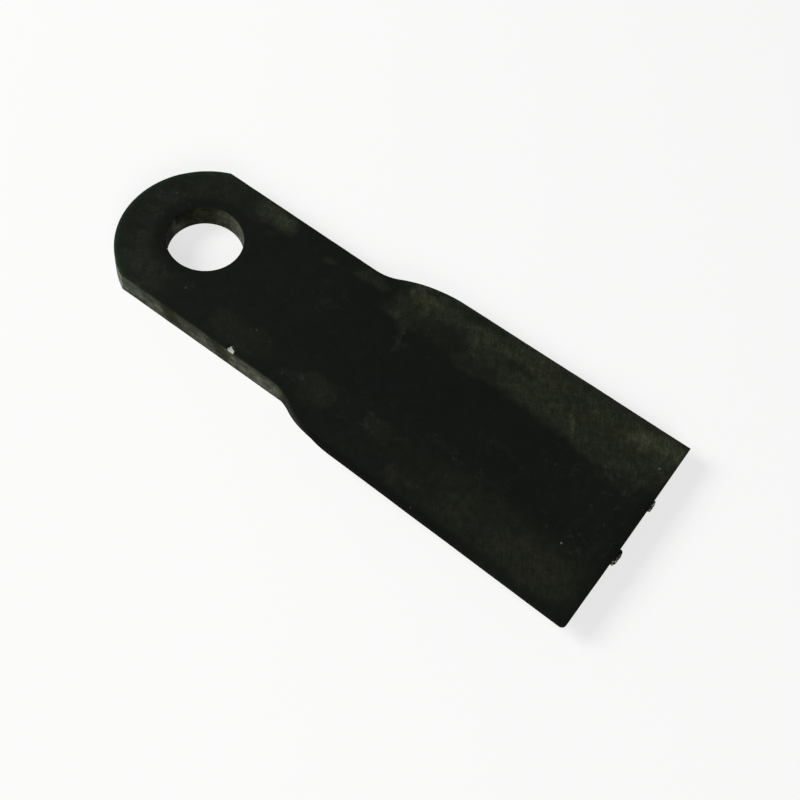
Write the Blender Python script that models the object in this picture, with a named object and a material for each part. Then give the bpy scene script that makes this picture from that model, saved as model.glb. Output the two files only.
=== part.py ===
"""Mulcher blade: a forged swing blade for an orchard or pasture mulcher.

One piece of flat steel bar. The head is cut round and punched for the pivot bolt. Past the middle the
bar is hammered out: its square edges run out into thin ones, so the blade spreads to a wider paddle whose
middle, the land, keeps the bar's full thickness. The tip is sheared off square, and two bits of flash
still hang on it.

Metres, +Z up. The blade lies flat on z = 0 with its tip towards +X, and the origin is at the middle of
its base. Lengths along the blade are measured from the hole's axis, and so are those across it: +1 is the
far side and -1 the near side. The hole was punched a millimetre off the bar's middle, towards the far
side, and all the rest is even about the bar's middle.
"""

import math

import bmesh
import bpy
from mathutils import Vector

# Flat bar and its head
BAR_WIDTH = 0.0759
BAR_THICKNESS = 0.012
BAR_OFFSET = -0.00095
BAR_EDGE_RADIUS = 0.0004
HEAD_RADIUS = 0.0423
HEAD_CENTRE_AHEAD = 0.003
HOLE_DIAMETER = 0.035

# Plan of the forged paddle
HOLE_TO_TIP = 0.2304
PADDLE_WIDTH = 0.1001
FLARE_START = 0.0698
FLARE_FILLET = 0.0217
FLARE_SHOULDER = 0.0587
FAN_ANGLE = math.radians(1.23)
TIP_CORNER_RADIUS = 0.0024

# Section of the forged paddle
LAND_WIDTH = 0.036
TOP_FALL = 0.0009
TIP_DROOP = 0.0005
EDGE_THICKNESS = 0.002
EDGE_ROLL_WIDTH = 0.002
EDGE_ROLL_DROP = 0.0005
EDGE_TUCK = 0.0008
UNDERSIDE_RADIUS = 0.0003
EDGE_RUN_START = 0.0055
EDGE_RUN_LENGTH = 0.0292
LAND_RUN_LENGTH = 0.036
LAND_INSET = 0.01
TIP_ROLL_LENGTH = 0.0045
TIP_ROLL_DROP = 0.0012

# Flash left by the shear on the tip: where across the end, how far it stands out, and its length
LARGE_FLASH_Y = -0.0097
LARGE_FLASH_STAND = 0.0021
LARGE_FLASH_LENGTH = 0.0082
SMALL_FLASH_Y = 0.0202
SMALL_FLASH_STAND = 0.0013
SMALL_FLASH_LENGTH = 0.0056
FLASH_HEIGHT = 0.0042
FLASH_LIFT = 0.0034

# Fineness of the curves
STATION_GAP = 0.0015
ROLL_STEPS = 4
TIP_STEPS = 6
UNDERSIDE_STEPS = 3
HOLE_SEGMENTS = 64
HEAD_SEGMENTS = 72
CUT_MARGIN = 0.004

PAINT_COLOUR = (0.011, 0.013, 0.010, 1.0)
PAINT_ROUGHNESS = 0.42
SMOOTH_ANGLE = math.radians(28)

FAR_SIDE = 1
NEAR_SIDE = -1
HEAD_REACH = HEAD_RADIUS - HEAD_CENTRE_AHEAD
HOLE_X = HEAD_REACH - (HEAD_REACH + HOLE_TO_TIP + LARGE_FLASH_STAND) / 2
HOLE_Y = -BAR_OFFSET


def remove_startup_objects():
    for item in list(bpy.data.objects):
        bpy.data.objects.remove(item, do_unlink=True)


def new_collection(name):
    group = bpy.data.collections.new(name)
    bpy.context.scene.collection.children.link(group)
    return group


def ease(value):
    """0 below 0, 1 above 1, and a smooth S between."""
    share = min(max(value, 0.0), 1.0)
    return share * share * (3 - 2 * share)


def mix(low, high, share):
    return low + (high - low) * share


class Side:
    """One side of the blade, far or near, with its plan: bar, hollow fillet, round shoulder, fan."""

    def __init__(self, side, tip_corner_radius):
        self.side = side
        self.tip_corner_radius = tip_corner_radius
        self.bar_half = BAR_WIDTH / 2 + side * BAR_OFFSET
        self.land_half = LAND_WIDTH / 2 + side * BAR_OFFSET
        # Angle that both arcs turn through, so that together they step out from the bar to the paddle
        self.step = (PADDLE_WIDTH - BAR_WIDTH) / 2
        radii = FLARE_FILLET + FLARE_SHOULDER
        turn = math.acos((FLARE_FILLET + FLARE_SHOULDER * math.cos(FAN_ANGLE) - self.step) / radii)
        self.turn = turn
        self.fillet_end = FLARE_START + FLARE_FILLET * math.sin(turn)
        self.shoulder_end = self.fillet_end + FLARE_SHOULDER * (math.sin(turn) - math.sin(FAN_ANGLE))

    def half_width(self, along):
        if along <= FLARE_START:
            return self.bar_half
        if along <= self.fillet_end:
            run = along - FLARE_START
            return self.bar_half + FLARE_FILLET - math.sqrt(FLARE_FILLET**2 - run**2)
        if along <= self.shoulder_end:
            fillet_top = self.bar_half + FLARE_FILLET * (1 - math.cos(self.turn))
            run = FLARE_SHOULDER * math.sin(self.turn) - (along - self.fillet_end)
            rise = math.sqrt(FLARE_SHOULDER**2 - run**2) - FLARE_SHOULDER * math.cos(self.turn)
            return fillet_top + rise
        return self.bar_half + self.step + (along - self.shoulder_end) * math.tan(FAN_ANGLE)

    def corner_loss(self, along):
        """How much the rounded corner at the tip takes off the half-width."""
        depth = along - (HOLE_TO_TIP - self.tip_corner_radius)
        if depth <= 0:
            return 0.0
        return self.tip_corner_radius - math.sqrt(max(self.tip_corner_radius**2 - depth**2, 0.0))


SIDES = (Side(FAR_SIDE, 0.0), Side(NEAR_SIDE, TIP_CORNER_RADIUS))


def half_section(along, side):
    """Points of one half of the section, from the top of the land round to its underside, as (out, up)."""
    forged = ease((along - FLARE_START - EDGE_RUN_START) / EDGE_RUN_LENGTH)
    pulled_in = ease((along - FLARE_START) / LAND_RUN_LENGTH)
    widest = side.half_width(along)
    lost = side.corner_loss(along)
    roll_width = mix(BAR_EDGE_RADIUS, EDGE_ROLL_WIDTH, forged)
    roll_drop = mix(BAR_EDGE_RADIUS, EDGE_ROLL_DROP, forged)
    round_low = mix(BAR_EDGE_RADIUS, UNDERSIDE_RADIUS, forged)
    to_tip = max(along - side.shoulder_end, 0.0) / (HOLE_TO_TIP - side.shoulder_end)
    edge_top = BAR_THICKNESS - (TOP_FALL + TIP_DROOP * to_tip) * forged
    edge_low = edge_top - mix(BAR_THICKNESS, EDGE_THICKNESS, forged)
    land = mix(side.bar_half - LAND_INSET, side.land_half, pulled_in)

    outer = widest - lost
    lower = max(side.bar_half, widest - EDGE_TUCK) - lost
    points = [(land, BAR_THICKNESS)]
    for step in range(ROLL_STEPS + 1):
        angle = math.pi / 2 * step / ROLL_STEPS
        out = outer - roll_width * (1 - math.sin(angle))
        points.append((out, edge_top - roll_drop * (1 - math.cos(angle))))
    for step in range(UNDERSIDE_STEPS + 1):
        angle = math.pi / 2 * step / UNDERSIDE_STEPS
        out = lower - round_low * (1 - math.cos(angle))
        points.append((out, edge_low + round_low * (1 - math.sin(angle))))
    points.append((land, 0.0))
    return rolled_at_tip(points, along, edge_low)


def rolled_at_tip(points, along, edge_low):
    """Lowers the section's top towards the sheared end, where the shear dragged it down."""
    depth = (along - (HOLE_TO_TIP - TIP_ROLL_LENGTH)) / TIP_ROLL_LENGTH
    if depth <= 0:
        return points
    lost = TIP_ROLL_DROP / BAR_THICKNESS * (1 - math.sqrt(max(1 - depth**2, 0.0)))
    edge_end = ROLL_STEPS + 2
    lowered = []
    for place, (out, up) in enumerate(points):
        if place < edge_end:
            up = mix(up, edge_low if place else 0.0, lost)
        lowered.append((out, up))
    return lowered


def section(along):
    """The whole section's ring, from the top of the land on the far side round to the near side."""
    far, near = SIDES
    ring = [Vector((along, out, up)) for out, up in half_section(along, far)]
    ring += [Vector((along, -out, up)) for out, up in reversed(half_section(along, near))]
    return ring


def stations():
    """Places along the blade for the sections: few where it is straight, close where it bends."""
    places = [-HEAD_REACH - CUT_MARGIN, 0.0, FLARE_START]
    flare_end = max(
        max(side.shoulder_end for side in SIDES),
        FLARE_START + LAND_RUN_LENGTH,
        FLARE_START + EDGE_RUN_START + EDGE_RUN_LENGTH,
    )
    count = math.ceil((flare_end - FLARE_START) / STATION_GAP)
    for step in range(1, count + 1):
        places.append(mix(FLARE_START, flare_end, step / count))
    places.append((flare_end + HOLE_TO_TIP) / 2)
    for step in range(TIP_STEPS + 1):
        angle = math.pi / 2 * step / TIP_STEPS
        places.append(HOLE_TO_TIP - TIP_ROLL_LENGTH * (1 - math.sin(angle)))
    return places


def loft_blade(name, group):
    """Skins the sections into one closed body."""
    mesh = bmesh.new()
    rings = []
    for along in stations():
        rings.append([mesh.verts.new(point) for point in section(along)])
    for first, second in zip(rings, rings[1:]):
        for place in range(len(first)):
            after = (place + 1) % len(first)
            mesh.faces.new((first[place], second[place], second[after], first[after]))
    mesh.faces.new(rings[0])
    mesh.faces.new(reversed(rings[-1]))
    bmesh.ops.recalc_face_normals(mesh, faces=mesh.faces)
    data = bpy.data.meshes.new(name)
    mesh.to_mesh(data)
    mesh.free()
    blade = bpy.data.objects.new(name, data)
    group.objects.link(blade)
    return blade


def mark_as_cutter(item, group):
    for owner in list(item.users_collection):
        owner.objects.unlink(item)
    group.objects.link(item)
    item.hide_render = True
    item.display_type = 'WIRE'


def head_outline(group):
    """Everything ahead of the head's centre, with the head's arc behind it, as a thick flat outline."""
    tip = HOLE_TO_TIP + CUT_MARGIN
    beside = max(side.half_width(HOLE_TO_TIP) for side in SIDES) + CUT_MARGIN
    corners = [(tip, -beside), (tip, beside), (HEAD_CENTRE_AHEAD, beside)]
    for step in range(HEAD_SEGMENTS + 1):
        angle = math.pi / 2 + math.pi * step / HEAD_SEGMENTS
        x = HEAD_CENTRE_AHEAD + HEAD_RADIUS * math.cos(angle)
        corners.append((x, BAR_OFFSET + HEAD_RADIUS * math.sin(angle)))
    corners.append((HEAD_CENTRE_AHEAD, -beside))

    curve = bpy.data.curves.new("head_outline", 'CURVE')
    curve.dimensions = '2D'
    curve.fill_mode = 'BOTH'
    curve.extrude = BAR_THICKNESS / 2 + CUT_MARGIN
    spline = curve.splines.new('POLY')
    spline.points.add(len(corners) - 1)
    for point, (x, y) in zip(spline.points, corners):
        point.co = (x, y, 0.0, 1.0)
    spline.use_cyclic_u = True
    flat = bpy.data.objects.new("head_outline_curve", curve)
    group.objects.link(flat)
    flat.location.z = BAR_THICKNESS / 2
    bpy.context.view_layer.update()

    data = bpy.data.meshes.new_from_object(flat.evaluated_get(bpy.context.evaluated_depsgraph_get()))
    welded = bmesh.new()
    welded.from_mesh(data)
    bmesh.ops.remove_doubles(welded, verts=welded.verts, dist=0.00001)
    bmesh.ops.recalc_face_normals(welded, faces=welded.faces)
    welded.to_mesh(data)
    welded.free()
    outline = bpy.data.objects.new("head_outline", data)
    outline.matrix_world = flat.matrix_world.copy()
    group.objects.link(outline)
    bpy.data.objects.remove(flat, do_unlink=True)
    mark_as_cutter(outline, group)
    return outline


def bolt_hole_punch(group):
    bpy.ops.mesh.primitive_cylinder_add(
        vertices=HOLE_SEGMENTS,
        radius=HOLE_DIAMETER / 2,
        depth=BAR_THICKNESS + 2 * CUT_MARGIN,
        location=(0.0, 0.0, BAR_THICKNESS / 2),
    )
    punch = bpy.context.active_object
    punch.name = "bolt_hole_punch"
    mark_as_cutter(punch, group)
    return punch


def boxy(value):
    return math.copysign(abs(value) ** 0.6, value)


def flash(name, y, stand, length, group):
    """A torn lump of flash: a blunt bead that leans to one side, half sunk in the sheared end."""
    bpy.ops.mesh.primitive_ico_sphere_add(subdivisions=2, radius=1.0)
    bead = bpy.context.active_object
    bead.name = name
    for vertex in bead.data.vertices:
        x, across, up = (boxy(value) for value in vertex.co)
        vertex.co = (
            stand * x,
            length / 2 * (across + 0.22 * up),
            FLASH_HEIGHT / 2 * (up - 0.15 * across * across),
        )
    bead.location = (HOLE_TO_TIP, y, FLASH_LIFT)
    mark_as_cutter(bead, group)
    return bead


def add_boolean(target, operand, operation):
    change = target.modifiers.new(operand.name, 'BOOLEAN')
    change.operation = operation
    change.solver = 'EXACT'
    change.object = operand


def black_paint():
    material = bpy.data.materials.new("black_paint_on_forged_steel")
    material.use_nodes = True
    shader = material.node_tree.nodes["Principled BSDF"]
    shader.inputs["Base Color"].default_value = PAINT_COLOUR
    shader.inputs["Roughness"].default_value = PAINT_ROUGHNESS
    shader.inputs["Metallic"].default_value = 0.0
    return material


def build():
    remove_startup_objects()
    parts = new_collection("mulcher_blade")
    cutters = new_collection("blade_cutters")

    blade = loft_blade("mulcher_blade", parts)
    tools = [
        (head_outline(cutters), 'INTERSECT'),
        (bolt_hole_punch(cutters), 'DIFFERENCE'),
        (flash("large_flash", LARGE_FLASH_Y, LARGE_FLASH_STAND, LARGE_FLASH_LENGTH, cutters), 'UNION'),
        (flash("small_flash", SMALL_FLASH_Y, SMALL_FLASH_STAND, SMALL_FLASH_LENGTH, cutters), 'UNION'),
    ]
    for tool, operation in tools:
        tool.location.x += HOLE_X
        tool.location.y += HOLE_Y
        add_boolean(blade, tool, operation)
    blade.location.x = HOLE_X
    blade.location.y = HOLE_Y
    blade.data.shade_smooth()
    blade.data.set_sharp_from_angle(angle=SMOOTH_ANGLE)
    blade.data.materials.append(black_paint())


build()
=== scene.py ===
import math

import bmesh
import bpy
from mathutils import Matrix, Vector, noise


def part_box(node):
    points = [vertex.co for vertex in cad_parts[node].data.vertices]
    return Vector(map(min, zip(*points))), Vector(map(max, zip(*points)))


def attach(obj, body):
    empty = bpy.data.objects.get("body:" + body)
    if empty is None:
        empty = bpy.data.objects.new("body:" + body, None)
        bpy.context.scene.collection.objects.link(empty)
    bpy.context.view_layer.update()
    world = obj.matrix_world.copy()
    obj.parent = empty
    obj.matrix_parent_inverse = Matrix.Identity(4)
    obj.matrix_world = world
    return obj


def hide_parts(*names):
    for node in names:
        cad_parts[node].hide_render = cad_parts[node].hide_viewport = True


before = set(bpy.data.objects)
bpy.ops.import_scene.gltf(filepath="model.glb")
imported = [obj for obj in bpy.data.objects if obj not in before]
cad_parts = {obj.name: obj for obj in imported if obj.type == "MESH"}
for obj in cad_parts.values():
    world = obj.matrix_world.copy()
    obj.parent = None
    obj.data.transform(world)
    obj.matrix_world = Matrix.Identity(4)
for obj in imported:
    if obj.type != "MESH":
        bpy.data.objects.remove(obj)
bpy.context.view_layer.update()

# The blade: one length of 75 x 12 mm flat steel bar. Its head is cut round and punched for the pivot bolt,
# its other half is hammered out hot into a wider paddle with thin edges, and its tip is sheared off.
# All its lengths are measured along, across and up from the pivot hole's axis, on the plane it lies on.
BAR_WIDTH = 0.0759
THICKNESS = 0.012
BAR_OFFSET = -0.00095
BAR_EDGE_RADIUS = 0.0004
HEAD_RADIUS = 0.0423
HEAD_CENTRE_AHEAD = 0.003
HOLE_RADIUS = 0.0175

HOLE_TO_TIP = 0.2304
PADDLE_WIDTH = 0.1001
FLARE_START = 0.0698
FLARE_FILLET = 0.0217
FLARE_SHOULDER = 0.0587
FAN_ANGLE = math.radians(1.23)
TIP_CORNER_RADIUS = 0.0024

LAND_WIDTH = 0.036
LAND_INSET = 0.01
TOP_FALL = 0.0009
TIP_DROOP = 0.0005
EDGE_THICKNESS = 0.002
EDGE_ROLL_WIDTH = 0.002
EDGE_ROLL_DROP = 0.0005
EDGE_TUCK = 0.0008
UNDERSIDE_RADIUS = 0.0003
EDGE_RUN_START = 0.0055
EDGE_RUN_LENGTH = 0.0292
LAND_RUN_LENGTH = 0.036
TIP_ROLL_LENGTH = 0.0045
TIP_ROLL_DROP = 0.0012
CREASE_BLEND = 0.003

# How finely the skin is divided.
HEAD_PATCH_END = 0.036
COLUMNS = 44
RINGS = 28
STATION_GAP = 0.0011
ROLL_STEPS = 9
WALL_STEPS = 7
LOW_STEPS = 5
TIP_STEPS = 10
END_ROWS = 8
WELD_DISTANCE = 0.0000005
LEAST_RUN = 0.001
SHARP_ANGLE = math.radians(32)

blade_low, blade_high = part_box("mulcher_blade")
HOLE_X = blade_low.x + HEAD_RADIUS - HEAD_CENTRE_AHEAD
HOLE_Y = -BAR_OFFSET


def mix(low, high, share):
    return low + (high - low) * share


def ease(value):
    """0 below 0, 1 above 1, and a smooth S between."""
    share = min(max(value, 0.0), 1.0)
    return share * share * (3 - 2 * share)


def ramp(value, blend):
    """0 below 0 and value above it, with a soft bend of the width given on both sides of 0."""
    if value <= -blend:
        return 0.0
    if value >= blend:
        return value
    return (value + blend) ** 2 / (4 * blend)


class Side:
    """The plan of one long side: straight bar, hollow fillet, round shoulder, then a slight fan."""

    def __init__(self, sign, tip_corner):
        self.sign = sign
        self.tip_corner = tip_corner
        self.bar_half = BAR_WIDTH / 2 + sign * BAR_OFFSET
        self.land_half = LAND_WIDTH / 2 + sign * BAR_OFFSET
        self.step = (PADDLE_WIDTH - BAR_WIDTH) / 2
        across = FLARE_FILLET + FLARE_SHOULDER * math.cos(FAN_ANGLE) - self.step
        self.turn = math.acos(across / (FLARE_FILLET + FLARE_SHOULDER))
        self.fillet_end = FLARE_START + FLARE_FILLET * math.sin(self.turn)
        self.shoulder_end = self.fillet_end + FLARE_SHOULDER * (math.sin(self.turn) - math.sin(FAN_ANGLE))

    def half_width(self, along):
        if along <= FLARE_START:
            return self.bar_half
        if along <= self.fillet_end:
            return self.bar_half + FLARE_FILLET - math.sqrt(FLARE_FILLET**2 - (along - FLARE_START) ** 2)
        if along <= self.shoulder_end:
            top = self.bar_half + FLARE_FILLET * (1 - math.cos(self.turn))
            run = FLARE_SHOULDER * math.sin(self.turn) - (along - self.fillet_end)
            return top + math.sqrt(FLARE_SHOULDER**2 - run**2) - FLARE_SHOULDER * math.cos(self.turn)
        return self.bar_half + self.step + (along - self.shoulder_end) * math.tan(FAN_ANGLE)

    def corner_loss(self, along):
        depth = along - (HOLE_TO_TIP - self.tip_corner)
        if depth <= 0:
            return 0.0
        return self.tip_corner - math.sqrt(max(self.tip_corner**2 - depth**2, 0.0))


FAR = Side(1, 0.0)
NEAR = Side(-1, TIP_CORNER_RADIUS)


class Section:
    """One side of the section at a place along the blade: its widths, heights and rolled edge."""

    def __init__(self, along, side):
        forged = ease((along - FLARE_START - EDGE_RUN_START) / EDGE_RUN_LENGTH)
        pulled_in = ease((along - FLARE_START) / LAND_RUN_LENGTH)
        widest = side.half_width(along)
        lost = side.corner_loss(along)
        self.outer = widest - lost
        self.lower = max(side.bar_half, widest - EDGE_TUCK) - lost
        self.roll_width = mix(BAR_EDGE_RADIUS, EDGE_ROLL_WIDTH, forged)
        self.roll_drop = mix(BAR_EDGE_RADIUS, EDGE_ROLL_DROP, forged)
        self.round_low = mix(BAR_EDGE_RADIUS, UNDERSIDE_RADIUS, forged)
        to_tip = max(along - side.shoulder_end, 0.0) / (HOLE_TO_TIP - side.shoulder_end)
        self.edge_top = THICKNESS - (TOP_FALL + TIP_DROOP * to_tip) * forged
        self.edge_low = self.edge_top - mix(THICKNESS, EDGE_THICKNESS, forged)
        self.land = mix(side.bar_half - LAND_INSET, side.land_half, pulled_in)
        depth = (along - (HOLE_TO_TIP - TIP_ROLL_LENGTH)) / TIP_ROLL_LENGTH
        rolled = 1 - math.sqrt(max(1 - max(depth, 0.0) ** 2, 0.0))
        self.tip_loss = TIP_ROLL_DROP / THICKNESS * rolled

    def top_start(self):
        return self.outer - self.roll_width

    def low_start(self):
        return self.lower - self.round_low

    def top(self, out):
        share = ramp(out - self.land, CREASE_BLEND) / max(self.top_start() - self.land, LEAST_RUN)
        up = THICKNESS - (THICKNESS - self.edge_top) * min(share, 1.0)
        return mix(up, self.low(out), self.tip_loss)

    def low(self, out):
        share = ramp(out - self.land, CREASE_BLEND) / max(self.low_start() - self.land, LEAST_RUN)
        return self.edge_low * min(share, 1.0)

    def edge(self):
        """The edge as (out, up), from where its top roll starts, down the wall, to the underside."""
        points = []
        for step in range(ROLL_STEPS + 1):
            angle = math.pi / 2 * step / ROLL_STEPS
            up = self.edge_top - self.roll_drop * (1 - math.cos(angle))
            points.append((self.outer - self.roll_width * (1 - math.sin(angle)), up))
        top_end = points[-1][1]
        low_end = self.edge_low + self.round_low
        for step in range(1, WALL_STEPS):
            share = step / WALL_STEPS
            points.append((mix(self.outer, self.lower, share), mix(top_end, low_end, share)))
        for step in range(LOW_STEPS + 1):
            angle = math.pi / 2 * step / LOW_STEPS
            up = self.edge_low + self.round_low * (1 - math.sin(angle))
            points.append((self.lower - self.round_low * (1 - math.cos(angle)), up))
        return [(out, mix(up, self.edge_low, self.tip_loss)) for out, up in points]


def across_columns(near, far):
    """Places across a flat face, evenly from its near limit to the hole's line and on to its far limit."""
    places = [-near * (1 - column / COLUMNS) for column in range(COLUMNS)]
    return places + [far * column / COLUMNS for column in range(COLUMNS + 1)]


def station_loop(mesh, along):
    """The closed ring of points round the blade at one place: top face, far edge, underside, near edge."""
    far, near = Section(along, FAR), Section(along, NEAR)
    loop = []
    for y in across_columns(near.top_start(), far.top_start()):
        loop.append((y, (far if y >= 0 else near).top(abs(y))))
    loop += far.edge()[1:]
    underside = across_columns(near.low_start(), far.low_start())
    for y in reversed(underside[:-1]):
        loop.append((y, (far if y >= 0 else near).low(abs(y))))
    loop += [(-out, up) for out, up in reversed(near.edge()[1:-1])]
    return [mesh.verts.new((along, y, up)) for y, up in loop]


def skin(mesh, first, second, closed=True):
    """Quads between two rows of points."""
    count = len(first) if closed else len(first) - 1
    for place in range(count):
        after = (place + 1) % len(first)
        mesh.faces.new((first[place], second[place], second[after], first[after]))


def body_stations():
    end = HOLE_TO_TIP - TIP_ROLL_LENGTH
    count = math.ceil((end - HEAD_PATCH_END) / STATION_GAP)
    places = [mix(HEAD_PATCH_END, end, step / count) for step in range(count)]
    for step in range(TIP_STEPS + 1):
        places.append(HOLE_TO_TIP - TIP_ROLL_LENGTH * (1 - math.sin(math.pi / 2 * step / TIP_STEPS)))
    return places


def body_and_tip(mesh):
    """The bar and the paddle from the head's patch on, closed by a gridded face at the sheared tip."""
    loops = [station_loop(mesh, along) for along in body_stations()]
    for first, second in zip(loops, loops[1:]):
        skin(mesh, first, second)
    end = loops[-1]
    width = 2 * COLUMNS + 1
    edge = ROLL_STEPS + WALL_STEPS + LOW_STEPS
    top_row = end[:width]
    low_row = [end[(width - 1 + edge + place) % len(end)] for place in range(width)][::-1]
    rows = [top_row]
    for row in range(1, END_ROWS):
        share = row / END_ROWS
        rows.append([mesh.verts.new(a.co.lerp(b.co, share)) for a, b in zip(top_row, low_row)])
    rows.append(low_row)
    for first, second in zip(rows, rows[1:]):
        skin(mesh, first, second, closed=False)
    far_edge = end[width - 1:width + edge]
    near_edge = end[width + edge + width - 2:] + [end[0]]
    mesh.faces.new(far_edge + [row[-1] for row in reversed(rows[1:-1])])
    mesh.faces.new(near_edge + [row[0] for row in rows[1:-1]])


# The head's patch. The punch dragged the hole's rim in a little, and tore a narrow lip on its head side.
RIM_ROUND = 0.00035
LIP_HEIGHT = 0.0012
LIP_STEP = 0.0007
LIP_DEPTH = 0.00045
LIP_MIDDLE = math.radians(140)
LIP_FOOT = 0.9
LIP_STEPS = 4


def head_outline(inset):
    """The head's outline in plan, drawn in by inset: up the far side from the bar, round, and back."""
    radius = HEAD_RADIUS - inset
    half = BAR_WIDTH / 2 - inset
    spread = math.asin(half / radius)
    arc_x = HEAD_CENTRE_AHEAD - radius * math.cos(spread)
    side_count = math.ceil((HEAD_PATCH_END - HEAD_CENTRE_AHEAD + HEAD_RADIUS / 2) / STATION_GAP)
    arc_count = math.ceil(2 * spread * HEAD_RADIUS / STATION_GAP)
    points = []
    for step in range(side_count):
        points.append((mix(HEAD_PATCH_END, arc_x, step / side_count), BAR_OFFSET + half))
    for step in range(arc_count + 1):
        angle = math.pi - spread + 2 * spread * step / arc_count
        x = HEAD_CENTRE_AHEAD + radius * math.cos(angle)
        points.append((x, BAR_OFFSET + radius * math.sin(angle)))
    for step in range(1, side_count + 1):
        points.append((mix(arc_x, HEAD_PATCH_END, step / side_count), BAR_OFFSET - half))
    return points


def hole_wall(angle):
    """The hole's wall as (out, up), from its top rim down past the torn lip to its bottom rim."""
    lip = LIP_DEPTH * ease((math.cos(angle - LIP_MIDDLE) - 0.3) / 0.6)
    wall = []
    for step in range(ROLL_STEPS + 1):
        turn = math.pi / 2 * step / ROLL_STEPS
        out = lip + RIM_ROUND * (1 - math.sin(turn))
        wall.append((out, THICKNESS - RIM_ROUND * (1 - math.cos(turn))))
    wall.append((lip * LIP_FOOT, THICKNESS - LIP_HEIGHT))
    for step in range(1, LIP_STEPS + 1):
        share = step / LIP_STEPS
        wall.append((lip * LIP_FOOT * (1 - ease(share)), THICKNESS - LIP_HEIGHT - LIP_STEP * share))
    low = THICKNESS - LIP_HEIGHT - LIP_STEP
    for step in range(1, WALL_STEPS):
        wall.append((0.0, mix(low, RIM_ROUND, step / WALL_STEPS)))
    for step in range(ROLL_STEPS + 1):
        turn = math.pi / 2 * step / ROLL_STEPS
        wall.append((RIM_ROUND * (1 - math.cos(turn)), RIM_ROUND * (1 - math.sin(turn))))
    return wall


def head(mesh):
    """The head: rings between the hole and the outline, on both faces, with the hole's and outer walls."""
    far, near = Section(HEAD_PATCH_END, FAR), Section(HEAD_PATCH_END, NEAR)
    outer = head_outline(0.0)
    inner = head_outline(BAR_EDGE_RADIUS)
    strips = []
    for (x, y), (inner_x, inner_y) in zip(outer, inner):
        strip = []
        for out, up in far.edge():
            share = (out - far.top_start()) / far.roll_width
            strip.append(mesh.verts.new((mix(inner_x, x, share), mix(inner_y, y, share), up)))
        strips.append(strip)
    for first, second in zip(strips, strips[1:]):
        skin(mesh, first, second, closed=False)

    cut = across_columns(near.top_start(), far.top_start())[1:-1]
    spokes = []
    for place in range(len(strips) + len(cut)):
        if place < len(strips):
            top_end, low_end = strips[place][0], strips[place][-1]
        else:
            y = cut[place - len(strips)]
            top_end = mesh.verts.new((HEAD_PATCH_END, y, THICKNESS))
            low_end = mesh.verts.new((HEAD_PATCH_END, y, 0.0))
        x, y = top_end.co.x, top_end.co.y
        angle = math.atan2(y, x)
        reach = math.hypot(x, y)
        wall = [(HOLE_RADIUS + out, up) for out, up in hole_wall(angle)]
        down = [(mix(reach, wall[0][0], ring / RINGS), THICKNESS) for ring in range(1, RINGS)]
        back = [(mix(wall[-1][0], reach, ring / RINGS), 0.0) for ring in range(1, RINGS)]
        cos, sin = math.cos(angle), math.sin(angle)
        spoke = [mesh.verts.new((radius * cos, radius * sin, up)) for radius, up in down + wall + back]
        spokes.append([top_end] + spoke + [low_end])
    for place in range(len(spokes)):
        skin(mesh, spokes[place], spokes[(place + 1) % len(spokes)], closed=False)


# Relief, all of it cut into the skin so that nothing stands out of the blade's size: the hammer's soft
# waves, fine scale, nicks along the edges, the punch's drag round the hole, the shear's round the head, and
# a chip out of the near edge, made of three overlapping bites, each a place and a reach.
HAMMER_WAVE = 0.02
HAMMER_DEPTH = 0.00022
BAR_WAVE_SHARE = 0.2
SCALE_WAVE = 0.0055
SCALE_DEPTH = 0.00006
NICK_WAVE = 0.004
NICK_DEPTH = 0.00022
DISH_WIDTH = 0.005
DISH_DEPTH = 0.00016
DRAG_WIDTH = 0.0018
DRAG_DEPTH = 0.00015
CHIP_BITES = (((0.0476, -0.0385, 0.0118), 0.0013),
              ((0.0464, -0.0381, 0.0119), 0.0014),
              ((0.0459, -0.037, 0.012), 0.0009))
CHIP_DEPTH = 0.0006
CHIP_FINE_REACH = 0.0045
CHIP_CUTS = 3


def chip_share(point):
    """1 inside the chip's overlapping bites, and falling to 0 round them."""
    return max(1 - ease((point - Vector(place)).length / reach - 0.4) for place, reach in CHIP_BITES)


def relief(point, normal):
    """Depth that the skin is cut in by, at a point. Nicks lie only where it turns from wall to face."""
    forged = mix(BAR_WAVE_SHARE, 1.0, ease((point.x - FLARE_START) / LAND_RUN_LENGTH))
    wave = 0.5 + 0.5 * noise.noise(point / HAMMER_WAVE)
    scale = 0.5 + 0.5 * noise.noise(point / SCALE_WAVE + Vector((7, 0, 0)))
    on_edge = ease((abs(normal.z) - 0.15) / 0.3) * (1 - ease((abs(normal.z) - 0.8) / 0.18))
    nick = max(noise.noise(point / NICK_WAVE + Vector((0, 5, 0))) - 0.1, 0.0)
    depth = HAMMER_DEPTH * forged * wave + SCALE_DEPTH * scale + NICK_DEPTH * on_edge * nick
    return depth + CHIP_DEPTH * chip_share(point)


def sag(point):
    """How far the top face is dragged down, round the hole by the punch and at the head by the shear."""
    dish = 1 - ease((math.hypot(point.x, point.y) - HOLE_RADIUS) / DISH_WIDTH)
    drag = 0.0
    if point.x < HEAD_CENTRE_AHEAD:
        inside = HEAD_RADIUS - math.hypot(point.x - HEAD_CENTRE_AHEAD, point.y - BAR_OFFSET)
        drag = max(1 - inside / DRAG_WIDTH, 0.0) ** 2
    return (DISH_DEPTH * dish**2 + DRAG_DEPTH * drag) * (point.z / THICKNESS) ** 2


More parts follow.
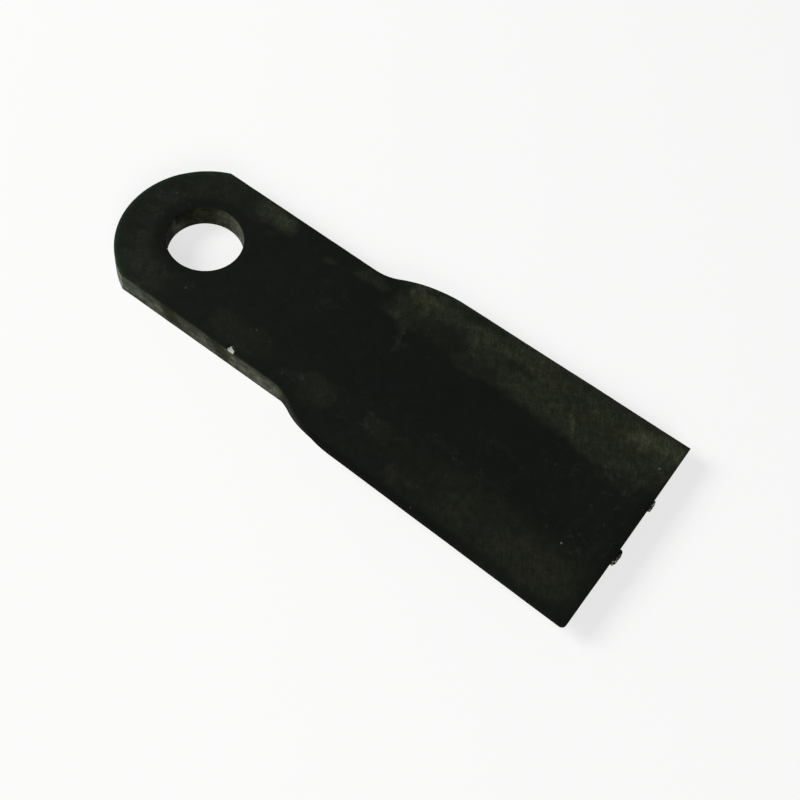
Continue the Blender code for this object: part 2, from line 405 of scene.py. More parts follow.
mesh = bmesh.new()
head(mesh)
body_and_tip(mesh)
bmesh.ops.remove_doubles(mesh, verts=mesh.verts, dist=WELD_DISTANCE)
bmesh.ops.recalc_face_normals(mesh, faces=mesh.faces)
chip_middle = Vector(CHIP_BITES[1][0])
near_chip = {vert for vert in mesh.verts if (vert.co - chip_middle).length < CHIP_FINE_REACH}
chip_edges = [edge for edge in mesh.edges if near_chip.issuperset(edge.verts)]
bmesh.ops.subdivide_edges(mesh, edges=chip_edges, cuts=CHIP_CUTS, use_grid_fill=True)
mesh.normal_update()
moves = []
for vert in mesh.verts:
    moves.append(-vert.normal * relief(vert.co, vert.normal) - Vector((0, 0, sag(vert.co))))
for vert, move in zip(mesh.verts, moves):
    vert.co += move
    vert.co.z = max(vert.co.z, 0.0)
    vert.co += Vector((HOLE_X, HOLE_Y, 0.0))
data = bpy.data.meshes.new("forged_blade")
mesh.to_mesh(data)
mesh.free()
blade = bpy.data.objects.new("forged_blade", data)
bpy.context.scene.collection.objects.link(blade)

# Flash: two torn lumps of the blade's own steel that the shear left on the tip's end face. Each is given as
# its name, place across the tip, stand-out, length and noise seed.
FLASHES = (("large_flash", -0.0097, 0.0021, 0.0082, 3.0), ("small_flash", 0.0202, 0.0013, 0.0056, 8.0))
FLASH_HEIGHT = 0.0042
FLASH_LIFT = 0.0034
FLASH_SQUARENESS = 0.6
FLASH_LEAN = 0.22
FLASH_BOW = 0.15
FLASH_FILL = 0.84
TEAR_PITCH = 2.2
TEAR_DEPTH = 0.16
PIT_PITCH = 6
PIT_DEPTH = 0.07


def flash_lump(name, y, stand, length, seed):
    """A crumpled bead, half sunk in the end face."""
    bpy.ops.mesh.primitive_ico_sphere_add(subdivisions=5, radius=1.0)
    bead = bpy.context.active_object
    bead.name = name
    for vertex in bead.data.vertices:
        torn = noise.noise(vertex.co * TEAR_PITCH + Vector((seed, 0, 0)))
        pitted = noise.noise(vertex.co * PIT_PITCH + Vector((0, seed, 0)))
        keep = FLASH_FILL + TEAR_DEPTH * torn + PIT_DEPTH * min(pitted, 0.0)
        x, across, up = (keep * math.copysign(abs(value) ** FLASH_SQUARENESS, value) for value in vertex.co)
        leaned = length / 2 * (across + FLASH_LEAN * up)
        bowed = FLASH_HEIGHT / 2 * (up - FLASH_BOW * across**2)
        middle = Vector((HOLE_TO_TIP, y, FLASH_LIFT)) + Vector((HOLE_X, HOLE_Y, 0.0))
        vertex.co = Vector((stand * x, leaned, bowed)) + middle
    bead.location = (0, 0, 0)
    return bead


lumps = [flash_lump(*flash) for flash in FLASHES]
for lump in lumps:
    join = blade.modifiers.new(lump.name, 'BOOLEAN')
    join.operation = 'UNION'
    join.solver = 'EXACT'
    join.object = lump
data = bpy.data.meshes.new_from_object(blade.evaluated_get(bpy.context.evaluated_depsgraph_get()))
blade.modifiers.clear()
blade.data = data
for lump in lumps:
    bpy.data.objects.remove(lump, do_unlink=True)
data.shade_smooth()
data.set_sharp_from_angle(angle=SHARP_ANGLE)


# The finish, in millimetres along the blade and across it from the hole's axis. Dust, oil and scale lie on
# the black enamel in patches, each given as x, y, half length, half width, turn in degrees, strength and
# colour. Where the strength is below 0, less lies. A few patches, noted where they stand, are painted light
# and shade. Worn places, where grey scuffs show, have no colour.
def linear(hex_colour):
    """An sRGB hex colour as the linear RGBA that shader sockets take."""
    channels = [int(hex_colour[place:place + 2], 16) / 255 for place in (1, 3, 5)]
    return [c / 12.92 if c <= 0.04045 else ((c + 0.055) / 1.055) ** 2.4 for c in channels] + [1.0]


OLIVE = linear("#2E3320")
DRAB = linear("#35331E")
ASH = linear("#2D312F")
UMBER = linear("#37342A")
GREEN = linear("#0A2410")
BLUE = linear("#0B0E11")
BLACK = linear("#030403")
BROWN = linear("#2B2412")
MOSS = linear("#1A1C0C")
TOP_PATCHES = (
    (14.5, 31.5, 10, 5.5, -6, 0.33, OLIVE),
    (23, 30, 6, 6, 0, 0.20, OLIVE),
    (10, 25, 5, 3, 0, 0.10, BROWN),
    (-12, -29, 10, 6, -40, 0.06, OLIVE),
    (-22, -17, 5, 4, 40, 0.06, ASH),
    (-28, -9, 4, 3, 0, 0.05, ASH),
    (-29, 6, 5, 5, 60, 0.06, ASH),
    (-27, 12, 2, 2, 0, 0.08, ASH),
    # Partly a painted highlight: green where a rolled facet at the head's far corner catches the light.
    (-26, 28, 9, 5, 45, 0.14, GREEN),
    (44, -29, 17, 8, 0, 0.085, OLIVE),
    (34, -33, 6, 4, 20, 0.03, OLIVE),
    (71, 32, 9, 4, 8, 0.20, OLIVE),
    (51, 27, 3.5, 2.5, 20, 0.14, OLIVE),
    (63, 7, 5, 3, 0, 0.05, ASH),
    (22, 21, 3, 1.5, 0, 0.06, ASH),
    (57, 18, 4, 2, -20, 0.04, ASH),
    (73, -33, 6, 4, 20, 0.06, ASH),
    (86, -30, 9, 9, 20, 0.12, OLIVE),
    (113, 26, 16, 9, 4, -0.22, OLIVE),
    (113, 28, 18, 9, 4, 0.025, ASH),
    (137, 23, 10, 7, 0, -0.13, OLIVE),
    (122, 46, 14, 3, 3, -0.16, OLIVE),
    (115, 41, 6, 3, 0, -0.09, OLIVE),
    (145, 31, 6, 4, 0, -0.07, OLIVE),
    (97, 40, 9, 6, -20, 0.10, OLIVE),
    (152, 47, 13, 2.5, 2, 0.12, OLIVE),
    (148, 36, 8, 3, 0, -0.10, OLIVE),
    (165, 28, 16, 6, 0, 0.06, OLIVE),
    (188, 38, 12, 4, 0, -0.04, OLIVE),
    (176, 40, 6, 5, 10, -0.10, OLIVE),
    (168, 26, 20, 6, 0, 0.05, GREEN),
    (110, -8, 10, 6, 30, 0.40, BLUE),
    (94, 17, 4, 4, 0, 0.40, BLUE),
    (126, -42, 8, 6, 20, 0.60, BLUE),
    (118, -28, 6, 6, 0, 0.08, OLIVE),
    (136, -42, 3, 6, 20, 0.10, DRAB),
    (144, -41, 5, 3, 0, 0.07, OLIVE),
    # Painted shade: this black patch darkens the near bevel where it tilts away from the light.
    (102, -36, 20, 12, 15, 0.15, BLACK),
    (168, -38, 10, 7, 0, 0.06, DRAB),
    (160, -18.5, 24, 1.4, 0, 0.05, ASH),
    (165, -2, 10, 1.3, 8, 0.05, ASH),
    (178, -11, 7, 1.2, 75, 0.05, ASH),
    (209, -12, 9, 1.4, 80, 0.06, ASH),
    (223, -17, 7, 1.4, 80, 0.06, ASH),
    (99.5, 13, 7, 1.2, -75, 0.17, OLIVE),
    # These two patches at the far tip corner are partly dust and partly a painted highlight.
    (211, 40, 6, 5, 10, 0.20, UMBER),
    (220, 45, 13, 5, 0, 0.36, OLIVE),
    (214, 17, 12, 6, -12, 0.09, OLIVE),
    (208, 3, 24, 16, 0, 0.022, ASH),
    (204, -39, 22, 10, 0, 0.10, DRAB),
    (227, 30, 3, 5, 0, 0.40, BROWN),
)
SCRATCHES = (
    (88, 30, 10, 0.9, -64, 0.12, OLIVE),
    (127, 35, 7, 0.9, -68, 0.20, OLIVE),
    (183, 28, 10, 0.9, -62, 0.28, OLIVE),
    (204, 35, 6, 0.9, -62, 0.12, UMBER),
    (212, 19.3, 2, 0.9, -5, 0.25, ASH),
    (220.5, 18, 2, 1.1, -35, 0.3, OLIVE),
    (226, -17, 3, 1.0, 60, 0.1, ASH),
)
WORN_PLACES = (
    (217, -8, 12, 20, 0, 0.26),
    (215, 14, 14, 8, 0, 0.22),
    (192, 9, 10, 8, 0, 0.16),
    (163, -4, 13, 7, 0, 0.18),
    (160, -19, 30, 4, 0, 0.22),
    (203, -20, 10, 6, 0, 0.24),
    (145, -42, 9, 4, 0, 0.26),
    (113, -28, 16, 9, 0, 0.26),
    (84, -28, 10, 10, 0, 0.16),
    (73, -30, 9, 8, 0, 0.26),
    (52, -22, 9, 4, 0, 0.20),
    (118, 27, 18, 9, 0, 0.14),
    (99, 12, 6, 10, 0, 0.20),
    (185, 32, 26, 12, 0, 0.12),
    (62, 12, 12, 12, 0, 0.12),
    (-26, 0, 9, 22, 0, 0.20),
    (8, -22, 10, 5, 0, 0.10),
)
LEAST_WEAR = 0.06
LEAST_DUST = 0.001
RAGGED = (3.2, 13.0), (1.4, 4.5)
PATCH_FADE_START = 0.5
PATCH_FADE = 0.8
HOLE_RING = 20.5
HEAD_DUST = 0.11
RING_SHADE = 0.14
ARC_BAND = 3.5
ARC_LIMIT = 8
PADDLE_START = 80
PADDLE_RUN = 13
FAR_CREASE = 17
FAR_DUST_AND_PAINTED_LIGHT = 0.26
FAR_RIDGE = 40.5
FAR_RIDGE_WIDTH = 3.5
FAR_RIDGE_DUST = 0.14
NEAR_CREASE = 19
NEAR_DUST = 0.02
NEAR_TIP_DUST = 0.06
NEAR_EDGE_STRIP = 46
NEAR_EDGE_SHADE = 0.7
TIP_STRIP = 223
LOW_DUST = 0.05
LOW_BEVEL_DUST = 0.11


def patch_share(x, y, patch):
    middle_x, middle_y, half_length, half_width, turn = patch[:5]
    across, up = x - middle_x, y - middle_y
    cos, sin = math.cos(math.radians(turn)), math.sin(math.radians(turn))
    away = math.hypot((across * cos + up * sin) / half_length, (up * cos - across * sin) / half_width)
    return 1 - ease((away - PATCH_FADE_START) / PATCH_FADE)


def ragged(point):
    """A place in plan moved about by a few millimetres, so that what is drawn there has torn edges."""
    x, y = point.x, point.y
    for reach, wave in RAGGED:
        x += reach * noise.noise(point / wave)
        y += reach * noise.noise(point / wave + Vector((0, 0, 9)))
    return x, y


def top_dust_and_painted_shading(point):
    """What lies on the upper face at a place: a list of (strength, colour)."""
    x, y = ragged(point)
    found = []
    # Thin dust on the head, none close to the hole, and a black ring round the hole: painted shade of the
    # dish the punch dragged in there.
    ring = math.hypot(point.x, point.y) - HOLE_RING
    on_head = (1 - ease((x + 6) / 18)) * (1 - 0.5 * ease((-x - 20) / 8))
    found.append((HEAD_DUST * ease((ring - 1) / 5) * on_head, OLIVE))
    found.append((RING_SHADE * (1 - ease(ring / 3)), BLACK))
    # A glossy green tinge along the head's round edge.
    if point.x < ARC_LIMIT:
        from_middle = math.hypot(point.x - 1000 * HEAD_CENTRE_AHEAD, point.y - 1000 * BAR_OFFSET)
        inside = 1000 * HEAD_RADIUS - from_middle
        found.append(((0.7 + 0.4 * noise.noise(point / 5)) * (1 - ease(inside / ARC_BAND)), GREEN))
    # Dust on the paddle's bevels, thickest in a ridge on the far one and nearly none on the near one; the
    # far bevel's heavier dust is partly painted light, lightening it as if it caught more light. Less dust
    # along the tip and the near edge, and a black strip on the near edge, are painted shade where those
    # edges roll over.
    on_paddle = ease((x - PADDLE_START) / PADDLE_RUN)
    strip = ease((x - TIP_STRIP) / 3) * (1 - ease((y - 30) / 6))
    ridge = math.exp(-((y - FAR_RIDGE) / FAR_RIDGE_WIDTH) ** 2)
    far = on_paddle * ease((y - FAR_CREASE) / 6) * (FAR_DUST_AND_PAINTED_LIGHT + FAR_RIDGE_DUST * ridge)
    near = on_paddle * ease((-y - NEAR_CREASE) / 8) * (NEAR_DUST + NEAR_TIP_DUST * ease((x - 130) / 40))
    near *= 1 - 0.6 * ease((-point.y - NEAR_EDGE_STRIP) / 4)
    found.append(((far + near) * (1 - 0.6 * strip), OLIVE))
    # Painted shade: black laid along the paddle's near edge, where its top rolls down.
    shaded = on_paddle * ease((-point.y - NEAR_EDGE_STRIP) / 2.5) * (1 - 0.8 * ease((x - 170) / 20))
    found.append((NEAR_EDGE_SHADE * shaded, BLACK))
    # The patches are thinned on the tip strip too, for the same painted shade.
    for patch in TOP_PATCHES:
        found.append((patch[5] * patch_share(x, y, patch) * (1 - 0.5 * strip), patch[6]))
    for scratch in SCRATCHES:
        found.append((scratch[5] * patch_share(point.x, point.y, scratch), scratch[6]))
    return found


def low_dust(point):
    """What lies on the underside, which is never seen: a thin dusting, thicker on the bevels."""
    on_bevel = ease((point.x - PADDLE_START) / PADDLE_RUN) * ease((abs(point.y) - FAR_CREASE) / 6)
    return [((LOW_DUST + LOW_BEVEL_DUST * on_bevel) * (1 + noise.noise(point / 8)), OLIVE)]


# On the cut walls a pale dry scale is left: thinner along the bar, and worn or rusted through in bands. It
# is thick on the hole's right side and on the head's near corner, walls that face the left lamp, so there it
# is partly scale and partly painted light; low on the hole's left wall it is painted light reflected from
# the floor.
# The hole's pale is given round it by bearing, and each rust band has its middle along the bar, half width,
# slant and strength.
PALE = linear("#66695A")
COOL = linear("#63695C")
STEEL = linear("#A6A89E")
HOLE_SCALE_AND_PAINTED_LIGHT = ((-180, 0.46), (-165, 0.10), (0, 0.10), (45, 0.42), (60, 0.52), (75, 0.38), (90, 0.25),
              (110, 0.18), (130, 0.07), (160, 0.03), (180, 0.46))
ARC_START = 1000 * (HEAD_CENTRE_AHEAD - math.sqrt(HEAD_RADIUS**2 - BAR_WIDTH**2 / 4)) + 0.3
CORNER_SCALE_AND_PAINTED_LIGHT = 0.55
BAR_SCALE = 0.23
LOW_SCALE = 0.11
RUST_BANDS = ((13.5, 5.5, -0.3, 0.85), (22, 5.0, -0.3, 0.45), (41.5, 5.5, -0.4, 0.8))


def between(places, value):
    """Straight lines between (place, level) pairs."""
    for (low, first), (high, second) in zip(places, places[1:]):
        if value <= high:
            return mix(first, second, (value - low) / (high - low))
    return places[-1][1]


def wall_scale_and_painted_shading(point):
    """What lies on a wall at a place: a list of (strength, colour)."""
    x, y, z = point
    cloudy = 1 + 0.7 * noise.noise(Vector((x / 5, y / 5, z / 3)))
    # upper is the top of a wall, from 9.6 mm up; less scale is laid there, a painted shade line below the
    # rim.
    upper = ease((z - 9.6) / 2.2)
    # The hole's wall, streaked up and down by the punch.
    if math.hypot(x, y) < 1000 * HOLE_RADIUS + 1.5:
        bearing = math.degrees(math.atan2(y, x)) + 6 * noise.noise(point / 3)
        # Painted light: the pale is thick where the hole's right wall faces the left lamp, and on its left
        # wall it is kept low, where the floor's light is reflected.
        scale = between(HOLE_SCALE_AND_PAINTED_LIGHT, min(max(bearing, -180), 180))
        if bearing > 150:
            scale *= 1 - ease((z - 4) / 4)
        streak = 1 + 0.5 * noise.noise(Vector((x / 1.2, y / 1.2, z / 9)))
        stain = ease((bearing - 85) / 20) * (0.5 + noise.noise(point / 2.5 + Vector((3, 0, 0))))
        rust = 0.3 * ease((bearing - 125) / 10) * max(noise.noise(point / 2 + Vector((0, 3, 0))), 0.0)
        return [(scale * streak * (1 - 0.4 * upper), PALE), (max(0.45 * stain, 0.0), OLIVE), (rust, BROWN)]
    # The sheared end, with bare steel on the crests of its flash.
    if x > 1000 * HOLE_TO_TIP - 0.3:
        bare = max(noise.noise(point / 0.9 + Vector((0, 0, 2))) + (0.2 if y > 0 else 0.0), 0.0)
        bare *= ease((x - 1000 * HOLE_TO_TIP) / 0.3)
        return [(0.04, PALE), (1.3 * bare, STEEL)]
    # The outer walls, cooler in tint round the head than along the bar.
    scale = BAR_SCALE + LOW_SCALE * (1 - z / 12)
    # Partly painted light: more pale near the head's near corner, where that wall faces the left lamp.
    if x < ARC_START and y < 0:
        scale += CORNER_SCALE_AND_PAINTED_LIGHT * (1 - ease((ARC_START - x) / 15))
    band = 0.0
    if y < 0:
        for middle, half, slant, worn in RUST_BANDS:
            away = abs(x - middle - slant * (z - 6) + 3.0 * noise.noise(point / 3)) / half
            here = 1 - ease((away - PATCH_FADE_START) / PATCH_FADE)
            band = max(band, worn * here * (0.5 + 0.5 * ease((z - 1) / 4)))
    scale *= cloudy * (1 - 0.65 * upper) * (1 - 0.97 * band) * (1 - 0.98 * ease((x - 73) / 5))
    # Darker towards the bottom of the outer walls, in their lowest 2.5 mm.
    scale *= 0.55 + 0.45 * ease(z / 2.5)
    cool = 1 - ease((x + 2) / 6)
    scale *= 1 + 0.12 * ease((x - 50) / 10)
    return [(scale * (1 - cool), PALE), (scale * cool, COOL), (0.4 * band * (1 - 0.5 * upper), MOSS)]


# Each point of the mesh is told what lies on it: dust and scale, and the painted light and shade noted
# above. The colour is kept already multiplied by the strength, so that it blends rightly between points, and
# its alpha is the share of it that is matt.
GLOSSY_TINTS = (BLUE, GREEN, BLACK)
WALL_TILT = 0.3
WALL_TILT_RUN = 0.55
RED_SWING = 0.12
BLUE_SWING = 0.16
dust_and_painted_shading, dust_and_painted_shading_colour, wear = [], [], []
for vertex in data.vertices:
    point = 1000 * (vertex.co - Vector((HOLE_X, HOLE_Y, 0.0)))
    steep = 1 - ease((abs(vertex.normal.z) - WALL_TILT) / WALL_TILT_RUN)
    if point.x > 1000 * HOLE_TO_TIP + 0.2:
        steep = 1.0
    lying = top_dust_and_painted_shading(point) if vertex.normal.z > 0 else low_dust(point)
    found = [(strength * (1 - steep), colour) for strength, colour in lying]
    found += [(strength * steep, colour) for strength, colour in wall_scale_and_painted_shading(point)]
    found.append((LEAST_DUST, OLIVE))
    weight = sum(max(strength, 0.0) for strength, _ in found)
    amount = min(max(sum(strength for strength, _ in found), 0.0), 1.0)
    tint = Vector((0.0, 0.0, 0.0, 0.0))
    for strength, colour in found:
        matt = 0.0 if colour in GLOSSY_TINTS else 1.0
        tint += Vector((*colour[:3], matt)) * amount * max(strength, 0.0) / weight
    warmth = noise.noise(point / 9)
    tint.x *= 1 + RED_SWING * warmth * (1 - steep)
    tint.z *= 1 - BLUE_SWING * warmth * (1 - steep)
    worn = sum(place[5] * patch_share(*ragged(point), place) for place in WORN_PLACES)
    wear.append(LEAST_WEAR + worn * (1 - steep))
    dust_and_painted_shading.append(amount)
    dust_and_painted_shading_colour.extend(tint)
data.attributes.new("dust_and_painted_shading", 'FLOAT', 'POINT').data.foreach_set("value", dust_and_painted_shading)
data.attributes.new("dust_and_painted_shading_colour", 'FLOAT_COLOR', 'POINT').data.foreach_set("color", dust_and_painted_shading_colour)
data.attributes.new("wear", 'FLOAT', 'POINT').data.foreach_set("value", wear)
chips = [chip_share(vertex.co - Vector((HOLE_X, HOLE_Y, 0.0))) for vertex in data.vertices]
data.attributes.new("chip", 'FLOAT', 'POINT').data.foreach_set("value", chips)


def add(tree, kind, links=(), **settings):
    """Adds a node. links are (input, value or output socket); settings are the node's own properties."""
    node = tree.nodes.new(kind)
    for name, value in settings.items():
        setattr(node, name, value)
    for socket, value in links:
        if isinstance(value, bpy.types.NodeSocket):
            tree.links.new(value, node.inputs[socket])
        else:
            node.inputs[socket].default_value = value
    return node


# The patterns' sizes in millimetres. Real grit is finer than a pixel of the picture, so it and the specks
# are drawn as coarse as they need to be to show. Streaks have a turn and a size: the enamel's lie as it was
# wiped, and the walls' as the bar was rolled. Specks are given as x, y, radius and strength.
NOISE_LOW = 0.3
NOISE_HIGH = 0.7
CLOUD_SIZE = 18
MOTTLE_SIZE = 3.5
MOTTLE_SWING = 0.55
GRIT_SIZE = 0.9
STREAK_SWING = 0.38
WIPED = math.radians(-62), (6.0, 0.6, 6.0)
ROLLED = 0.0, (7.0, 7.0, 0.7)
SCUFF_SIZE = 7
SCUFF_LEVEL = 0.52
SCUFF_WIDTH = 0.03
SCUFF_GAP = 0.5
SCUFF_WHOLE = 0.62
TORN_SWING = 0.15
TORN_START = 0.45
TORN_WHOLE = 0.6
GLOSS_SWING = 0.06
BUMP_HEIGHT = 0.00004
SPECK_CORE = 0.6
SPECKS = ((11, -26, 0.6, 0.08), (49, -23, 0.6, 0.08), (57, -24, 0.5, 0.03), (-27, 11.5, 0.6, 0.07),
          (209.6, -23, 0.6, 0.22), (224.4, 33.5, 0.8, 0.12), (212.7, 38.7, 0.5, 0.08), (188, 6, 0.7, 0.025),
          (151.5, -49, 0.5, 0.08), (205.5, 19, 0.7, 0.03))


def finish(name, dark, bright, smooth, rough, speckle, streaks):
    """A finish under a layer of dirt, scale and painted light and shade: the bare colour's two ends,
    roughness bare and under that layer, the grain's force, and the streaks."""
    material = bpy.data.materials.new(name)
    material.use_nodes = True
    tree = material.node_tree
    shader = tree.nodes["Principled BSDF"]
    space = add(tree, "ShaderNodeTexCoord")
    place = add(tree, "ShaderNodeMapping", [("Vector", space.outputs["Object"]),
                                            ("Scale", (1000, 1000, 1000)),
                                            ("Location", (-1000 * HOLE_X, -1000 * HOLE_Y, 0))]).outputs[0]
    cloud = add(tree, "ShaderNodeTexNoise", [("Vector", place), ("Scale", 1 / CLOUD_SIZE), ("Detail", 3.0)])
    mottle = add(tree, "ShaderNodeTexNoise", [("Vector", place), ("Scale", 1 / MOTTLE_SIZE), ("Detail", 6.0),
                                              ("Roughness", 0.65)])
    grain = add(tree, "ShaderNodeTexNoise", [("Vector", place), ("Scale", 1 / GRIT_SIZE), ("Detail", 3.0)])
    along = add(tree, "ShaderNodeMapping", [("Vector", place), ("Rotation", (0, 0, streaks[0])),
                                            ("Scale", streaks[1])], vector_type='TEXTURE')
    streak = add(tree, "ShaderNodeTexNoise", [("Vector", along.outputs[0]), ("Scale", 1.0), ("Detail", 2.0)])
    uneven = 1.0
    for pattern, swing in ((mottle, MOTTLE_SWING), (grain, speckle), (streak, STREAK_SWING)):
        factor = add(tree, "ShaderNodeMapRange", [("Value", pattern.outputs[0]), ("From Min", NOISE_LOW),
                                                  ("From Max", NOISE_HIGH), ("To Min", 1 - swing),
                                                  ("To Max", 1 + swing)])
        product = add(tree, "ShaderNodeMath", [(0, uneven), (1, factor.outputs[0])], operation='MULTIPLY')
        uneven = product.outputs[0]

    bare = add(tree, "ShaderNodeMix", [("Factor", cloud.outputs[0]), ("A", linear(dark)),
                                       ("B", linear(bright))], data_type='RGBA')
    lying = add(tree, "ShaderNodeAttribute", attribute_name="dust_and_painted_shading")
    tint = add(tree, "ShaderNodeAttribute", attribute_name="dust_and_painted_shading_colour")
    density = add(tree, "ShaderNodeMath", [(0, lying.outputs["Fac"]), (1, uneven)], operation='MULTIPLY',
                  use_clamp=True)
    covered = add(tree, "ShaderNodeMix", [("Factor", density.outputs[0]), ("A", bare.outputs[2]),
                                          ("B", (0.0, 0.0, 0.0, 1.0))], data_type='RGBA')
    colour = add(tree, "ShaderNodeMix", [("Factor", uneven), ("A", covered.outputs[2]),
                                         ("B", tint.outputs["Color"])],
                 data_type='RGBA', blend_type='ADD', clamp_factor=False)

    wander = add(tree, "ShaderNodeTexNoise", [("Vector", place), ("Scale", 1 / SCUFF_SIZE), ("Detail", 4.0)])
    crest = add(tree, "ShaderNodeMath", [(0, wander.outputs[0]), (1, SCUFF_LEVEL)],
                operation='SUBTRACT')
    crest = add(tree, "ShaderNodeMath", [(0, crest.outputs[0])], operation='ABSOLUTE')
    line = add(tree, "ShaderNodeMapRange", [("Value", crest.outputs[0]), ("From Min", SCUFF_WIDTH),
                                            ("From Max", 0.0)])
    broken = add(tree, "ShaderNodeMapRange", [("Value", mottle.outputs[0]), ("From Min", SCUFF_GAP),
                                              ("From Max", SCUFF_WHOLE)])
    worn = add(tree, "ShaderNodeAttribute", attribute_name="wear")
    scuff = 1.0
    for factor in (line.outputs[0], worn.outputs["Fac"], broken.outputs[0]):
        scuff = add(tree, "ShaderNodeMath", [(0, scuff), (1, factor)], operation='MULTIPLY').outputs[0]
    layers = [(scuff, ASH)]

    flat = add(tree, "ShaderNodeVectorMath", [(0, place), (1, (1.0, 1.0, 0.0))], operation='MULTIPLY')
    for x, y, radius, strength in SPECKS:
        away = add(tree, "ShaderNodeVectorMath", [(0, flat.outputs[0]), (1, (x, y, 0.0))],
                   operation='DISTANCE')
        speck = add(tree, "ShaderNodeMapRange", [("Value", away.outputs["Value"]), ("From Min", radius),
                                                 ("From Max", SPECK_CORE * radius), ("To Max", strength)])
        layers.append((speck.outputs[0], STEEL))

    chip = add(tree, "ShaderNodeAttribute", attribute_name="chip")
    torn = add(tree, "ShaderNodeMapRange", [("Value", grain.outputs[0]), ("From Min", NOISE_LOW),
                                            ("From Max", NOISE_HIGH), ("To Min", -TORN_SWING),
                                            ("To Max", TORN_SWING)])
    torn = add(tree, "ShaderNodeMath", [(0, chip.outputs["Fac"]), (1, torn.outputs[0])], operation='ADD')
    steel = add(tree, "ShaderNodeMapRange", [("Value", torn.outputs[0]), ("From Min", TORN_START),
                                             ("From Max", TORN_WHOLE)], interpolation_type='SMOOTHSTEP')
    layers.append((steel.outputs[0], STEEL))
    for share, paint in layers:
        colour = add(tree, "ShaderNodeMix", [("Factor", share), ("A", colour.outputs[2]), ("B", paint)],
                     data_type='RGBA')
    tree.links.new(colour.outputs[2], shader.inputs["Base Color"])

    even = add(tree, "ShaderNodeMix", [("Factor", mottle.outputs[0]), ("A", smooth - GLOSS_SWING),
                                       ("B", smooth + GLOSS_SWING)])
    dulled = add(tree, "ShaderNodeMath", [(0, uneven), (1, tint.outputs["Alpha"])], operation='MULTIPLY')
    dulled = add(tree, "ShaderNodeMath", [(0, dulled.outputs[0]), (1, scuff)], operation='ADD',
                 use_clamp=True)
    dull = add(tree, "ShaderNodeMix", [("Factor", dulled.outputs[0]), ("A", even.outputs[0]), ("B", rough)])
    tree.links.new(dull.outputs[0], shader.inputs["Roughness"])
    height = add(tree, "ShaderNodeMath", [(0, mottle.outputs[0]), (1, grain.outputs[0])], operation='ADD')
    bump = add(tree, "ShaderNodeBump", [("Height", height.outputs[0]), ("Distance", BUMP_HEIGHT)])
    tree.links.new(bump.outputs[0], shader.inputs["Normal"])
    return material, shader


# Black enamel, thinly brushed over the forging's own scale: nearly black with a green-grey cast and a satin
# gloss, dulled to olive where dust and oil sit on the hammered bevels, and carrying the painted light and
# shade laid on the mesh.
enamel, shader = finish("black_enamel_on_forged_steel", "#0A0D0A", "#0F120C", 0.34, 0.6, 0.4, WIPED)
shader.inputs["IOR"].default_value = 1.45

# The cut walls: dry mill scale with thin paint over it, matt, so that it mirrors next to nothing. The pale
# laid on them is in places painted light and shade.
dry_scale, shader = finish("dry_scale_on_cut_steel", "#10120D", "#16170F", 0.8, 0.9, 0.35, ROLLED)
shader.inputs["Specular IOR Level"].default_value = 0.04

# How flat a face may lie and still count as wall. The lower bevels lean more than any upper face.
FLATTEST_ABOVE = 0.97
FLATTEST_BELOW = 0.8
data.materials.clear()
data.materials.append(enamel)
data.materials.append(dry_scale)
for face in data.polygons:
    flattest = FLATTEST_ABOVE if face.normal.z > 0 else FLATTEST_BELOW
    face.material_index = 1 if abs(face.normal.z) < flattest else 0
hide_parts("mulcher_blade")
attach(blade, "root")

# The floor: a plain pale table top with the blade's soft shadow. Far from the blade it fades to plain white,
# so that its edge is never seen.
FLOOR_SIZE = 12.0
FADE_START = 0.5
FADE_END = 2.0
NEAR_WHITE = 0.7
bpy.ops.mesh.primitive_plane_add(size=FLOOR_SIZE, location=(0.0, 0.0, 0.0))
floor = bpy.context.active_object
floor.name = "floor"
floor_paint = bpy.data.materials.new("pale_table_top")
floor_paint.use_nodes = True
tree = floor_paint.node_tree
tree.nodes.clear()
rays = add(tree, "ShaderNodeLightPath")
seen = add(tree, "ShaderNodeMath", [(0, rays.outputs["Is Camera Ray"]), (1, rays.outputs["Is Glossy Ray"])],
           operation='MAXIMUM')
seen = add(tree, "ShaderNodeMath", [(0, seen.outputs[0]), (1, rays.outputs["Is Transmission Ray"])],
           operation='MAXIMUM')
matt = add(tree, "ShaderNodeBsdfDiffuse", [("Color", linear("#EEEEEC"))])
white = add(tree, "ShaderNodeEmission", [("Color", (1.0, 1.0, 1.0, 1.0)), ("Strength", 1.0)])
spot = add(tree, "ShaderNodeTexCoord")
away = add(tree, "ShaderNodeVectorMath", [(0, spot.outputs["Object"])], operation='LENGTH')
plain = add(tree, "ShaderNodeMapRange", [("Value", away.outputs["Value"]), ("From Min", FADE_START),
                                         ("From Max", FADE_END), ("To Min", NEAR_WHITE), ("To Max", 1.0)])
share = add(tree, "ShaderNodeMath", [(0, seen.outputs[0]), (1, plain.outputs[0])], operation='MULTIPLY')
top = add(tree, "ShaderNodeMixShader", [(0, share.outputs[0]), (1, matt.outputs[0]), (2, white.outputs[0])])
add(tree, "ShaderNodeOutputMaterial", [("Surface", top.outputs[0])])
floor.data.materials.append(floor_paint)

# The light: a studio that is dim overhead, pale low down and white at the horizon, where the floor ends, and
# two large soft lamps low in front, which light the blade without mirroring themselves in its top face. The
# heights are those of the direction looked in: 0 is level and 1 is straight up.
DIM_FROM = 0.65
DIM_STRENGTH = 0.04
PALE_FROM = 0.2
PALE_STRENGTH = 0.45
HAZE_FROM = 0.12
WHITE_FROM = 0.05
world = bpy.data.worlds.new("studio")
bpy.context.scene.world = world
world.use_nodes = True
tree = world.node_tree
tree.nodes.clear()
direction = add(tree, "ShaderNodeTexCoord")
parts = add(tree, "ShaderNodeSeparateXYZ", [(0, direction.outputs["Generated"])])
strength = add(tree, "ShaderNodeMapRange", [("Value", parts.outputs["Z"]), ("From Min", DIM_FROM),
                                            ("From Max", PALE_FROM), ("To Min", DIM_STRENGTH),
                                            ("To Max", PALE_STRENGTH)],
               interpolation_type='SMOOTHSTEP')
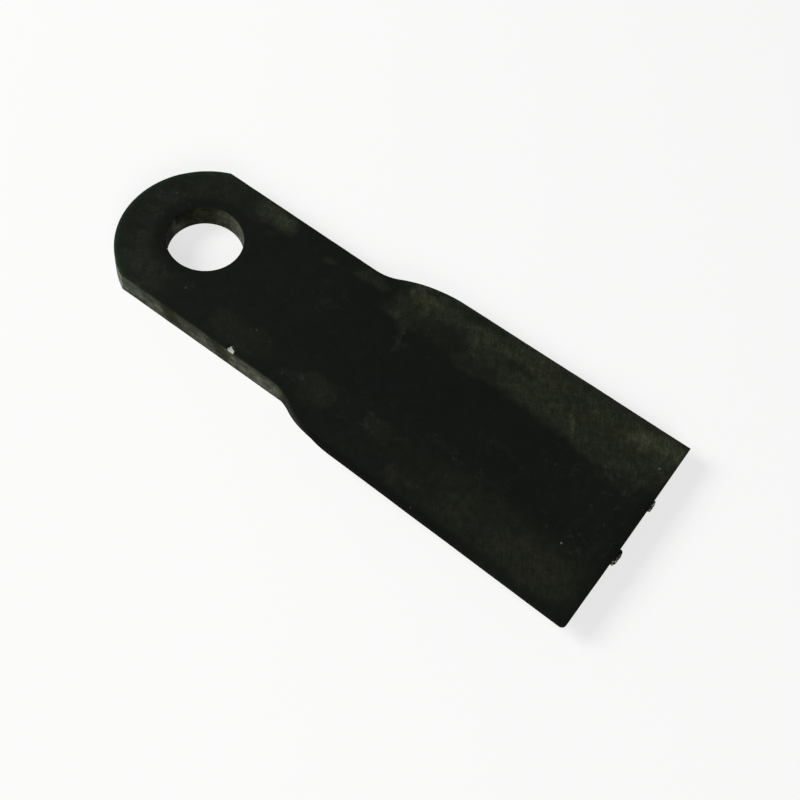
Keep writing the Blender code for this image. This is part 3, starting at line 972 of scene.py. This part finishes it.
haze = add(tree, "ShaderNodeMapRange", [("Value", parts.outputs["Z"]), ("From Min", HAZE_FROM),
                                        ("From Max", WHITE_FROM), ("To Min", 0.0), ("To Max", 1.0)],
           interpolation_type='SMOOTHSTEP')
strength = add(tree, "ShaderNodeMath", [(0, strength.outputs[0]), (1, haze.outputs[0])],
               operation='MAXIMUM')
sky = add(tree, "ShaderNodeBackground", [("Color", (1.0, 1.0, 1.0, 1.0)),
                                         ("Strength", strength.outputs[0])])
add(tree, "ShaderNodeOutputWorld", [("Surface", sky.outputs[0])])


def soft_lamp(name, place, size, power):
    lamp = bpy.data.lights.new(name, 'AREA')
    lamp.shape = 'DISK'
    lamp.size = size
    lamp.energy = power
    item = bpy.data.objects.new(name, lamp)
    item.location = place
    item.rotation_mode = 'QUATERNION'
    item.rotation_quaternion = (-Vector(place)).to_track_quat('-Z', 'Y')
    bpy.context.scene.collection.objects.link(item)


soft_lamp("left_lamp", (-2.5, -1.1, 1.9), 1.6, 132.0)
soft_lamp("right_lamp", (2.0, -2.4, 1.9), 1.6, 56.0)

# The camera: where it stood for the photograph, above the tip and to the near side, turned a little.
CAMERA_AZIMUTH = math.radians(25.42)
CAMERA_ELEVATION = math.radians(59.68)
CAMERA_ROLL = math.radians(12.376)
CAMERA_DISTANCE = 0.5649
CAMERA_AIM = Vector((HOLE_X + 0.11537, HOLE_Y - 0.00482, 0.0))
PICTURE_PIXELS = 800
FOCAL_PIXELS = 1281.3
SENSOR_MM = 36.0

lens = bpy.data.cameras.new("camera")
lens.sensor_width = SENSOR_MM
lens.lens = FOCAL_PIXELS / PICTURE_PIXELS * SENSOR_MM
camera = bpy.data.objects.new("camera", lens)
turn = (Matrix.Rotation(CAMERA_AZIMUTH, 4, 'Z') @ Matrix.Rotation(math.pi / 2 - CAMERA_ELEVATION, 4, 'X')
        @ Matrix.Rotation(CAMERA_ROLL, 4, 'Z'))
camera.matrix_world = Matrix.Translation(CAMERA_AIM) @ turn @ Matrix.Translation((0, 0, CAMERA_DISTANCE))
bpy.context.scene.collection.objects.link(camera)
bpy.context.scene.camera = camera
bpy.context.scene.view_settings.view_transform = 'Standard'
